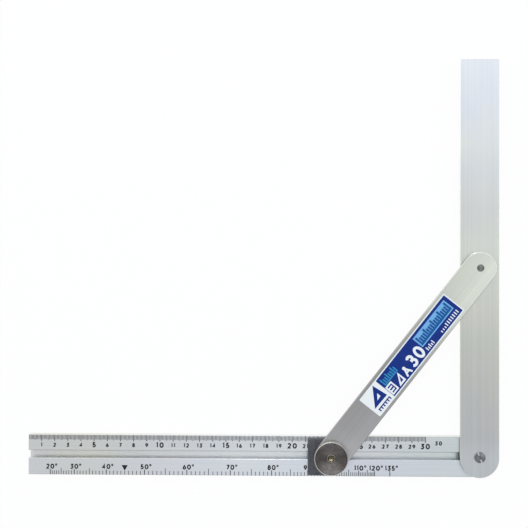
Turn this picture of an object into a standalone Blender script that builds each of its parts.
"""Sliding angle set square: a slotted stock, a pivoting blade and a strut that locks on the stock.

The tool lies on its back.  The origin is on the blade pivot's axis, at the stock's back face.
+X runs along the stock towards its pivot end, +Y along the blade when it stands at 90 degrees,
and +Z out of the face that carries the scales.  Sizes below are in millimetres.
"""

import math

import bmesh
import bpy

MM = 0.001

# ---------------------------------------------------------------- clearances
GAP = 0.2                   # between flat pieces that lie on each other
FIT = 0.2                   # radial, round a shank, screw or rivet
ADHESIVE = 0.05             # glue under the label

# ---------------------------------------------------------------- linkage: blade, strut and slider
PIVOT_TO_PIN = 141.5        # blade pivot to the strut's rivet, along the blade
STRUT_EXTRA = 38.5          # the strut's centres are this much longer, so the tool folds flat
BLADE_ANGLE = 90.0          # blade to stock, at rest
STRUT_CENTRES = PIVOT_TO_PIN + STRUT_EXTRA

# ---------------------------------------------------------------- thread and slot
THREAD_RADIUS = 2.4         # the pivot screw's and the clamp bolt's
THREAD_ROOM = 0.4           # between a thread and each lip of the slot
SLOT_SHELF = 2.7            # how far each lip overhangs the cavity
SLOT_LIP = 2.0              # thickness of the lips
CAVITY_HEIGHT = 3.5
SLOT_WEB = 2.5              # metal left under the slot
NUT_SIDE_ROOM = 0.3         # the anchor nut and the bolt's head, to the cavity's walls
NUT_FLOOR_ROOM = 0.4
NUT_CHAMFER = 0.4
SLOT_MOUTH = 2.0 * (THREAD_RADIUS + THREAD_ROOM)
SLOT_CAVITY = SLOT_MOUTH + 2.0 * SLOT_SHELF
NUT_SQUARE = SLOT_CAVITY - 2.0 * NUT_SIDE_ROOM

# ---------------------------------------------------------------- cursor plate
CURSOR_READING = 17.0       # the reading edge, left of the clamp bolt
CURSOR_TAIL = 5.0           # the plate's other edge, right of the bolt
CURSOR_SIDE = 1.5           # how far each side stays inside the stock's
CURSOR_CORNER = 0.6
CURSOR_TAIL_CORNER = 4.5
CURSOR_CHAMFER = 0.35
KEY_DEPTH = 1.6             # the key under the plate, in the slot's mouth
KEY_MARGIN = 1.0            # from the key's ends to the reading edge and to the bolt's hole

# ---------------------------------------------------------------- stock
STOCK_WIDTH = 30.0
STOCK_LOW_SIDE = 0.5        # the degree rail is this much wider than the middle, the ruler rail less
STOCK_SPARE = 1.5           # stock left beyond the cursor's reading edge, folded flat
STOCK_END_INSET = 3.5       # the rounded end's centre lies this far short of the pivot
STOCK_CHAMFER = 0.4         # round its outline and along the slot's mouth
STOCK_THICK = SLOT_WEB + CAVITY_HEIGHT + SLOT_LIP
STOCK_LENGTH = PIVOT_TO_PIN + STRUT_CENTRES + CURSOR_READING + STOCK_SPARE

# ---------------------------------------------------------------- blade
BLADE_REACH = 298.0         # pivot to the square tip
BLADE_END_PAST = 1.0        # the rounded end's centre lies this far past the pivot
BLADE_WIDTH = 29.0
BLADE_THICK = 2.0
BLADE_CHAMFER = 0.25

# ---------------------------------------------------------------- strut and label
STRUT_WIDTH = 24.5
STRUT_THICK = 2.0
STRUT_CHAMFER = 0.45
LABEL_FROM_BOLT = 46.7      # where the label starts, along the strut
LABEL_FROM_PIN = 32.0       # and how far short of the rivet it stops
LABEL_SIDE = 2.35           # bare strut along each side of it
LABEL_THICK = 0.2
LABEL_CORNER = 0.8

# ---------------------------------------------------------------- pivot screw and washer
SHOULDER_SEAT = 0.3         # how far the screw's shoulder rests on each lip, past its chamfer
PIVOT_HEAD_FLANGE = 0.65    # how far its head overhangs the shoulder
PIVOT_HEAD_HEIGHT = 1.5
PIVOT_HEAD_EDGE = 0.8       # the straight part of the head's edge
PIVOT_WASHER_FLANGE = 3.5
PIVOT_WASHER_THICK = 0.6
DRIVER_SLOT_WIDTH = 1.2     # the straight slot across the head
DRIVER_SLOT_DEPTH = 0.8
DRIVER_SLOT_TURN = 111.0    # degrees
SHOULDER_RADIUS = SLOT_MOUTH / 2.0 + STOCK_CHAMFER + SHOULDER_SEAT
PIVOT_HEAD_RADIUS = SHOULDER_RADIUS + PIVOT_HEAD_FLANGE

# ---------------------------------------------------------------- strut rivet and washer
RIVET_RADIUS = 2.0
RIVET_HEAD_FLANGE = 0.7     # how far its head overhangs the shank
RIVET_HEAD_HEIGHT = 0.6
RIVET_HEAD_EDGE = 0.2
RIVET_SINK_FLARE = 1.2      # how far the flush foot spreads, at the blade's underside
RIVET_SINK_DEPTH = 1.0
RIVET_WASHER_FLANGE = 3.5
RIVET_WASHER_THICK = 0.5

# ---------------------------------------------------------------- knob, bush, bolt and washer
KNOB_RADIUS = 12.8
KNOB_HEIGHT = 5.0
KNOB_CHAMFER = 0.6
KNOB_RIM = 0.9              # from the knob's radius to the dish
KNOB_DISH = 0.9             # depth of the dish inside the rim
KNOB_DISH_SLOPE = 0.45      # how far its wall leans in
KNOB_DISH_FALL = 0.5        # extra depth at the bush
KNURL_TEETH = 72
KNURL_DEPTH = 0.4
BUSH_WALL = 0.7
BUSH_CHAMFER = 0.3
CLAMP_WASHER_FLANGE = 4.1
CLAMP_WASHER_THICK = 0.8
BOLT_TIP_SINK = 0.35        # the bolt's tip lies this far below the bush's face
BOLT_TIP_CHAMFER = 0.5
BOLT_DIMPLE_RADIUS = 1.6
BOLT_DIMPLE_DEPTH = 0.7

# ---------------------------------------------------------------- modelling
ROUND_SEGMENTS = 48
DOME_STEPS = 4
CORNER_STEPS = 6            # on each rounded corner
NUT_CORNER_STEPS = 2
SMALLEST_CORNER = 0.05      # a corner's radius when an inset uses it up
FACE_CORNERS = 3            # the fewest that a face has
CUT_MARGIN = 1.0            # how far a cutter runs past the faces it goes through
SMOOTH_ANGLE = 30.0         # degrees; edges sharper than this stay sharp

# ---------------------------------------------------------------- levels above the stock's back
SLOT_FLOOR = SLOT_WEB
CAVITY_TOP = SLOT_WEB + CAVITY_HEIGHT
PIVOT_WASHER_BASE = STOCK_THICK + GAP
BLADE_BASE = PIVOT_WASHER_BASE + PIVOT_WASHER_THICK + GAP
BLADE_TOP = BLADE_BASE + BLADE_THICK
RIVET_WASHER_BASE = BLADE_TOP + GAP
RIVET_WASHER_TOP = RIVET_WASHER_BASE + RIVET_WASHER_THICK
STRUT_BASE = RIVET_WASHER_TOP + GAP
STRUT_TOP = STRUT_BASE + STRUT_THICK
CURSOR_BASE = STOCK_THICK + GAP
CURSOR_TOP = STRUT_BASE - GAP
CLAMP_WASHER_BASE = STRUT_TOP + GAP
KNOB_BASE = CLAMP_WASHER_BASE + CLAMP_WASHER_THICK + GAP
KNOB_TOP = KNOB_BASE + KNOB_HEIGHT
NUT_TOP = CAVITY_TOP - GAP
NUT_BASE = SLOT_FLOOR + NUT_FLOOR_ROOM
BUSH_TOP = KNOB_TOP - KNOB_DISH - KNOB_DISH_FALL

# ---------------------------------------------------------------- the linkage at rest, in plan
BLADE_HEADING = 180.0 - BLADE_ANGLE                     # degrees from +X
PIN_X = PIVOT_TO_PIN * math.cos(math.radians(BLADE_HEADING))
PIN_Y = PIVOT_TO_PIN * math.sin(math.radians(BLADE_HEADING))
CLAMP_X = PIN_X - math.sqrt(STRUT_CENTRES ** 2 - PIN_Y ** 2)
STRUT_HEADING = math.degrees(math.asin(PIN_Y / STRUT_CENTRES))


# ================================================================ scene helpers
def clear_scene():
    """Removes whatever the file holds."""
    for thing in list(bpy.data.objects):
        bpy.data.objects.remove(thing, do_unlink=True)


def material(name, colour, roughness, metallic):
    """A Principled material."""
    made = bpy.data.materials.new(name)
    made.use_nodes = True
    shader = made.node_tree.nodes["Principled BSDF"]
    shader.inputs["Base Color"].default_value = (*colour, 1.0)
    shader.inputs["Roughness"].default_value = roughness
    shader.inputs["Metallic"].default_value = metallic
    return made


def axis(name, x, y, heading=0.0, parent=None):
    """An empty on a joint's axis, turned to its piece's heading."""
    empty = bpy.data.objects.new(name, None)
    bpy.context.scene.collection.objects.link(empty)
    empty.location = (x * MM, y * MM, 0.0)
    empty.rotation_euler = (0.0, 0.0, math.radians(heading))
    empty.parent = parent
    return empty


def add(name, bm, finish=None, parent=None, at=(0.0, 0.0)):
    """Turns a bmesh in millimetres into an object in metres."""
    bmesh.ops.recalc_face_normals(bm, faces=bm.faces)
    bmesh.ops.scale(bm, vec=(MM, MM, MM), verts=bm.verts)
    mesh = bpy.data.meshes.new(name)
    bm.to_mesh(mesh)
    bm.free()
    mesh.shade_smooth()
    mesh.set_sharp_from_angle(angle=math.radians(SMOOTH_ANGLE))
    made = bpy.data.objects.new(name, mesh)
    bpy.context.scene.collection.objects.link(made)
    if finish:
        mesh.materials.append(finish)
    made.location = (at[0] * MM, at[1] * MM, 0.0)
    made.parent = parent
    return made


def combine(target, name, bm, operation, at=(0.0, 0.0)):
    """Cuts a shape out of an object, or joins one to it.  The shape shares the object's parent."""
    tool = add(name, bm, parent=target.parent, at=at)
    tool.hide_render = True
    tool.display_type = "WIRE"
    step = target.modifiers.new(name, "BOOLEAN")
    step.operation = operation
    step.solver = "EXACT"
    step.object = tool
    return tool


# ================================================================ shapes, in millimetres
def loft(sections):
    """A solid through outlines with equal point counts: [(height, [(x, y), ...]), ...], bottom first."""
    bm = bmesh.new()
    loops = [[bm.verts.new((x, y, z)) for x, y in outline] for z, outline in sections]
    bm.faces.new(reversed(loops[0]))
    bm.faces.new(loops[-1])
    for low, high in zip(loops, loops[1:]):
        for i, start in enumerate(low):
            j = (i + 1) % len(low)
            bm.faces.new((start, low[j], high[j], high[i]))
    return bm


def chamfered(outline_at, base, top, chamfer):
    """A plate whose outline, a function of its inset, is chamfered on both faces."""
    return loft([
        (base, outline_at(chamfer)),
        (base + chamfer, outline_at(0.0)),
        (top - chamfer, outline_at(0.0)),
        (top, outline_at(chamfer)),
    ])


def arc(x, y, radius, start, end, steps):
    """Points on an arc, from one angle to another in degrees, both ends included."""
    angles = [math.radians(start + (end - start) * i / steps) for i in range(steps + 1)]
    return [(x + radius * math.cos(a), y + radius * math.sin(a)) for a in angles]


def rounded_box(x0, x1, y0, y1, left_corner, right_corner, inset=0.0, steps=CORNER_STEPS):
    """A rectangle with rounded corners, one radius at each end."""
    x0, x1, y0, y1 = x0 + inset, x1 - inset, y0 + inset, y1 - inset
    left = max(left_corner - inset, SMALLEST_CORNER)
    right = max(right_corner - inset, SMALLEST_CORNER)
    return (
        arc(x1 - right, y0 + right, right, -90.0, 0.0, steps)
        + arc(x1 - right, y1 - right, right, 0.0, 90.0, steps)
        + arc(x0 + left, y1 - left, left, 90.0, 180.0, steps)
        + arc(x0 + left, y0 + left, left, 180.0, 270.0, steps)
    )


def turned(profile, segments=ROUND_SEGMENTS, teeth_depth=0.0):
    """A solid turned about Z.

    The profile is a closed run of (radius, height) points, with those at radius 0 on the axis.
    A point with a third value, True, is cut in at every other segment, which makes a knurl.
    """
    bm = bmesh.new()
    rings = []
    for radius, height, *knurled in profile:
        if radius == 0.0:
            rings.append([bm.verts.new((0.0, 0.0, height))] * segments)
            continue
        ring = []
        for i in range(segments):
            angle = 2.0 * math.pi * i / segments
            r = radius - teeth_depth if knurled and i % 2 else radius
            ring.append(bm.verts.new((r * math.cos(angle), r * math.sin(angle), height)))
        rings.append(ring)
    for low, high in zip(rings, rings[1:] + rings[:1]):
        for i in range(segments):
            j = (i + 1) % segments
            corners = list(dict.fromkeys((low[i], low[j], high[j], high[i])))
            if len(corners) >= FACE_CORNERS:
                bm.faces.new(corners)
    return bm


def rod(radius, base, top):
    """A plain cylinder."""
    return turned([(0.0, base), (radius, base), (radius, top), (0.0, top)])


def washer(bore, flange, base, thick):
    """A flat ring, its outer radius a flange wider than its bore."""
    outer = bore + flange
    return turned([(bore, base), (outer, base), (outer, base + thick), (bore, base + thick)])


def dome(radius, base, height, edge):
    """Profile of a low domed head: its straight edge, then an arc up to the axis."""
    rise = height - edge
    sphere = (radius ** 2 + rise ** 2) / (2.0 * rise)
    points = [(radius, base)]
    for step in range(DOME_STEPS):
        r = radius * (DOME_STEPS - step) / DOME_STEPS
        points.append((r, base + edge + math.sqrt(sphere ** 2 - r ** 2) - (sphere - rise)))
    return points + [(0.0, base + height)]


def block(x0, x1, y0, y1, z0, z1):
    """A plain box."""
    outline = [(x0, y0), (x1, y0), (x1, y1), (x0, y1)]
    return loft([(z0, outline), (z1, outline)])


def nut_block(base, top):
    """The square block that runs in the slot's cavity."""
    half = NUT_SQUARE / 2.0

    def outline(inset):
        return rounded_box(-half, half, -half, half, NUT_CHAMFER, NUT_CHAMFER, inset, NUT_CORNER_STEPS)

    return chamfered(outline, base, top, NUT_CHAMFER)


# ================================================================ stock
def stock_outline(inset):
    """Square at the left end and fully rounded at the pivot end."""
    half = STOCK_WIDTH / 2.0 - inset
    end_x = -STOCK_END_INSET
    left = -STOCK_LENGTH + inset
    return (arc(end_x, -STOCK_LOW_SIDE, half, -90.0, 90.0, ROUND_SEGMENTS // 2)
            + [(left, half - STOCK_LOW_SIDE), (left, -half - STOCK_LOW_SIDE)])


def slot_section():
    """Half the slot's section, from its floor to its chamfered mouth: (half width, height) of each step."""
    return [(SLOT_CAVITY / 2.0, SLOT_FLOOR), (SLOT_CAVITY / 2.0, CAVITY_TOP),
            (SLOT_MOUTH / 2.0, CAVITY_TOP), (SLOT_MOUTH / 2.0, STOCK_THICK - STOCK_CHAMFER),
            (SLOT_MOUTH / 2.0 + STOCK_CHAMFER + CUT_MARGIN, STOCK_THICK + CUT_MARGIN)]


def slot_cutter():
    """The T-shaped slot, as a prism that runs out of both ends of the stock."""
    half = slot_section()
    section = half + [(-y, z) for y, z in reversed(half)]
    bm = bmesh.new()
    ends = []
    for x in (-STOCK_LENGTH - CUT_MARGIN, STOCK_WIDTH):
        ends.append([bm.verts.new((x, y, z)) for y, z in section])
    bm.faces.new(ends[0])
    bm.faces.new(reversed(ends[1]))
    for i, start in enumerate(ends[0]):
        j = (i + 1) % len(section)
        bm.faces.new((start, ends[1][i], ends[1][j], ends[0][j]))
    return bm


def make_stock(finishes):
    """The extruded stock with its T-slot."""
    beam = add("stock_beam", chamfered(stock_outline, 0.0, STOCK_THICK, STOCK_CHAMFER), finishes["aluminium"])
    combine(beam, "slot_cut", slot_cutter(), "DIFFERENCE")


def make_pivot(finishes):
    """The shouldered screw that the blade turns on, its nut in the slot and its washer."""
    nut = add("pivot_anchor_nut", nut_block(NUT_BASE, NUT_TOP), finishes["steel"])
    bore = rod(THREAD_RADIUS + FIT, NUT_BASE - CUT_MARGIN, NUT_TOP + CUT_MARGIN)
    combine(nut, "nut_bore", bore, "DIFFERENCE")
    add("pivot_washer", washer(SHOULDER_RADIUS + FIT, PIVOT_WASHER_FLANGE, PIVOT_WASHER_BASE,
                               PIVOT_WASHER_THICK), finishes["nylon"])

    head_base = BLADE_TOP + GAP
    head_top = head_base + PIVOT_HEAD_HEIGHT
    screw = add("pivot_screw", turned([
        (0.0, NUT_BASE),
        (THREAD_RADIUS, NUT_BASE),
        (THREAD_RADIUS, PIVOT_WASHER_BASE),
        (SHOULDER_RADIUS, PIVOT_WASHER_BASE),
        (SHOULDER_RADIUS, head_base),
        *dome(PIVOT_HEAD_RADIUS, head_base, PIVOT_HEAD_HEIGHT, PIVOT_HEAD_EDGE),
    ]), finishes["dark_steel"])
    reach = PIVOT_HEAD_RADIUS + CUT_MARGIN
    half = DRIVER_SLOT_WIDTH / 2.0
    driver_slot = block(-reach, reach, -half, half, head_top - DRIVER_SLOT_DEPTH, head_top + CUT_MARGIN)
    cutter = combine(screw, "driver_slot", driver_slot, "DIFFERENCE")
    cutter.rotation_euler[2] = math.radians(DRIVER_SLOT_TURN)


# ================================================================ blade
def blade_outline(inset):
    """Fully rounded round the pivot and square at the tip, along local +X."""
    half = BLADE_WIDTH / 2.0 - inset
    tip = BLADE_REACH - inset
    return arc(-BLADE_END_PAST, 0.0, half, 90.0, 270.0, ROUND_SEGMENTS // 2) + [(tip, -half), (tip, half)]


def make_blade(finishes, pivot):
    """The blade, drilled for its pivot and countersunk below for the strut's rivet."""
    blade = add("blade", chamfered(blade_outline, BLADE_BASE, BLADE_TOP, BLADE_CHAMFER),
                finishes["aluminium"], pivot)
    low = BLADE_BASE - CUT_MARGIN
    high = BLADE_TOP + CUT_MARGIN
    pin = (PIVOT_TO_PIN, 0.0)
    sink_radius = RIVET_RADIUS + RIVET_SINK_FLARE
    combine(blade, "pivot_hole", rod(SHOULDER_RADIUS + FIT, low, high), "DIFFERENCE")
    combine(blade, "rivet_hole", turned([
        (0.0, low),
        (sink_radius + FIT, low),
        (sink_radius + FIT, BLADE_BASE),
        (RIVET_RADIUS + FIT, BLADE_BASE + RIVET_SINK_DEPTH),
        (RIVET_RADIUS + FIT, high),
        (0.0, high),
    ]), "DIFFERENCE", at=pin)

    spacer = washer(RIVET_RADIUS + FIT, RIVET_WASHER_FLANGE, RIVET_WASHER_BASE, RIVET_WASHER_THICK)
    add("strut_washer", spacer, finishes["nylon"], pivot, pin)
    add("rivet_foot", turned([
        (0.0, BLADE_BASE),
        (sink_radius, BLADE_BASE),
        (RIVET_RADIUS, BLADE_BASE + RIVET_SINK_DEPTH),
        (RIVET_RADIUS, RIVET_WASHER_TOP),
        (0.0, RIVET_WASHER_TOP),
    ]), finishes["dark_steel"], pivot, pin)


# ================================================================ strut
def strut_outline(inset):
    """Fully rounded about both its holes, along local +X."""
    half = STRUT_WIDTH / 2.0 - inset
    steps = ROUND_SEGMENTS // 2
    return arc(0.0, 0.0, half, 90.0, 270.0, steps) + arc(STRUT_CENTRES, 0.0, half, -90.0, 90.0, steps)


def make_strut(finishes, clamp):
    """The strut, the rivet's upper half and the label."""
    strut = add("strut", chamfered(strut_outline, STRUT_BASE, STRUT_TOP, STRUT_CHAMFER),
                finishes["aluminium"], clamp)
    low = STRUT_BASE - CUT_MARGIN
    high = STRUT_TOP + CUT_MARGIN
    pin = (STRUT_CENTRES, 0.0)
    combine(strut, "bolt_hole", rod(THREAD_RADIUS + FIT, low, high), "DIFFERENCE")
    combine(strut, "pin_hole", rod(RIVET_RADIUS + FIT, low, high), "DIFFERENCE", at=pin)

    head_base = STRUT_TOP + GAP
    add("rivet_head", turned([
        (0.0, STRUT_BASE),
        (RIVET_RADIUS, STRUT_BASE),
        (RIVET_RADIUS, head_base),
        *dome(RIVET_RADIUS + RIVET_HEAD_FLANGE, head_base, RIVET_HEAD_HEIGHT, RIVET_HEAD_EDGE),
    ]), finishes["dark_steel"], clamp, pin)

    label_base = STRUT_TOP + ADHESIVE
    half = STRUT_WIDTH / 2.0 - LABEL_SIDE
    outline = rounded_box(LABEL_FROM_BOLT, STRUT_CENTRES - LABEL_FROM_PIN, -half, half,
                          LABEL_CORNER, LABEL_CORNER)
    add("label", loft([(label_base, outline), (label_base + LABEL_THICK, outline)]), finishes["label"], clamp)


# ================================================================ slider
def cursor_outline(inset):
    """The cursor plate from above: a straight reading edge and well-rounded tail corners."""
    half = STOCK_WIDTH / 2.0 - CURSOR_SIDE
    return rounded_box(-CURSOR_READING, CURSOR_TAIL, -half - STOCK_LOW_SIDE, half - STOCK_LOW_SIDE,
                       CURSOR_CORNER, CURSOR_TAIL_CORNER, inset)


def make_slider(finishes, slider):
    """The cursor plate, keyed in the slot's mouth, and the bolt whose head runs in its cavity."""
    cursor = add("cursor_plate", chamfered(cursor_outline, CURSOR_BASE, CURSOR_TOP, CURSOR_CHAMFER),
                 finishes["dark_plastic"], slider)
    key_half = SLOT_MOUTH / 2.0 - GAP
    key_base = STOCK_THICK - KEY_DEPTH
    bore = THREAD_RADIUS + FIT
    combine(cursor, "slot_key", block(-CURSOR_READING + KEY_MARGIN, -bore - KEY_MARGIN, -key_half, key_half,
                                      key_base, CURSOR_TOP - CUT_MARGIN), "UNION")
    combine(cursor, "cursor_bore", rod(bore, CURSOR_BASE - CUT_MARGIN, CURSOR_TOP + CUT_MARGIN), "DIFFERENCE")

    tip = BUSH_TOP - BOLT_TIP_SINK
    bolt = add("clamp_bolt", turned([
        (0.0, NUT_BASE + NUT_CHAMFER),
        (THREAD_RADIUS, NUT_BASE + NUT_CHAMFER),
        (THREAD_RADIUS, tip - BOLT_TIP_CHAMFER),
        (THREAD_RADIUS - BOLT_TIP_CHAMFER, tip),
        (BOLT_DIMPLE_RADIUS, tip),
        (0.0, tip - BOLT_DIMPLE_DEPTH),
    ]), finishes["brass"], slider)
    combine(bolt, "bolt_head", nut_block(NUT_BASE, NUT_TOP), "UNION")


# ================================================================ knob
def make_knob(finishes, clamp):
    """The knurled, dished clamp knob, its threaded bush and the washer under it."""
    thread_bore = THREAD_RADIUS + FIT
    bush_radius = thread_bore + BUSH_WALL
    add("clamp_washer", washer(thread_bore, CLAMP_WASHER_FLANGE, CLAMP_WASHER_BASE, CLAMP_WASHER_THICK),
        finishes["steel"], clamp)
    bore = bush_radius + FIT
    crest = KNOB_RADIUS - KNOB_CHAMFER
    dish = KNOB_TOP - KNOB_DISH
    add("knob", turned([
        (bore, KNOB_BASE),
        (crest, KNOB_BASE),
        (KNOB_RADIUS, KNOB_BASE + KNOB_CHAMFER, True),
        (KNOB_RADIUS, KNOB_TOP - KNOB_CHAMFER, True),
        (crest, KNOB_TOP),
        (KNOB_RADIUS - KNOB_RIM, KNOB_TOP),
        (KNOB_RADIUS - KNOB_RIM - KNOB_DISH_SLOPE, dish),
        (bore, BUSH_TOP),
    ], 2 * KNURL_TEETH, KNURL_DEPTH), finishes["dark_steel"], clamp)
    add("knob_bush", turned([
        (thread_bore, KNOB_BASE),
        (bush_radius, KNOB_BASE),
        (bush_radius, BUSH_TOP - BUSH_CHAMFER),
        (bush_radius - BUSH_CHAMFER, BUSH_TOP),
        (thread_bore, BUSH_TOP),
    ]), finishes["brass"], clamp)


def main():
    clear_scene()
    finishes = {
        "aluminium": material("aluminium", (0.62, 0.63, 0.63), 0.42, 0.9),
        "steel": material("steel", (0.5, 0.5, 0.5), 0.35, 1.0),
        "dark_steel": material("dark_steel", (0.16, 0.15, 0.15), 0.35, 0.9),
        "brass": material("brass", (0.6, 0.47, 0.22), 0.3, 1.0),
        "nylon": material("nylon", (0.75, 0.75, 0.72), 0.5, 0.0),
        "dark_plastic": material("dark_plastic", (0.075, 0.075, 0.09), 0.55, 0.0),
        "label": material("label", (0.02, 0.09, 0.4), 0.35, 0.0),
    }
    pivot = axis("blade_pivot_axis", 0.0, 0.0, BLADE_HEADING)
    slider = axis("slider_axis", CLAMP_X, 0.0)
    strut_swing = axis("strut_clamp_axis", 0.0, 0.0, STRUT_HEADING, slider)
    make_stock(finishes)
    make_pivot(finishes)
    make_blade(finishes, pivot)
    make_slider(finishes, slider)
    make_strut(finishes, strut_swing)
    make_knob(finishes, slider)


main()
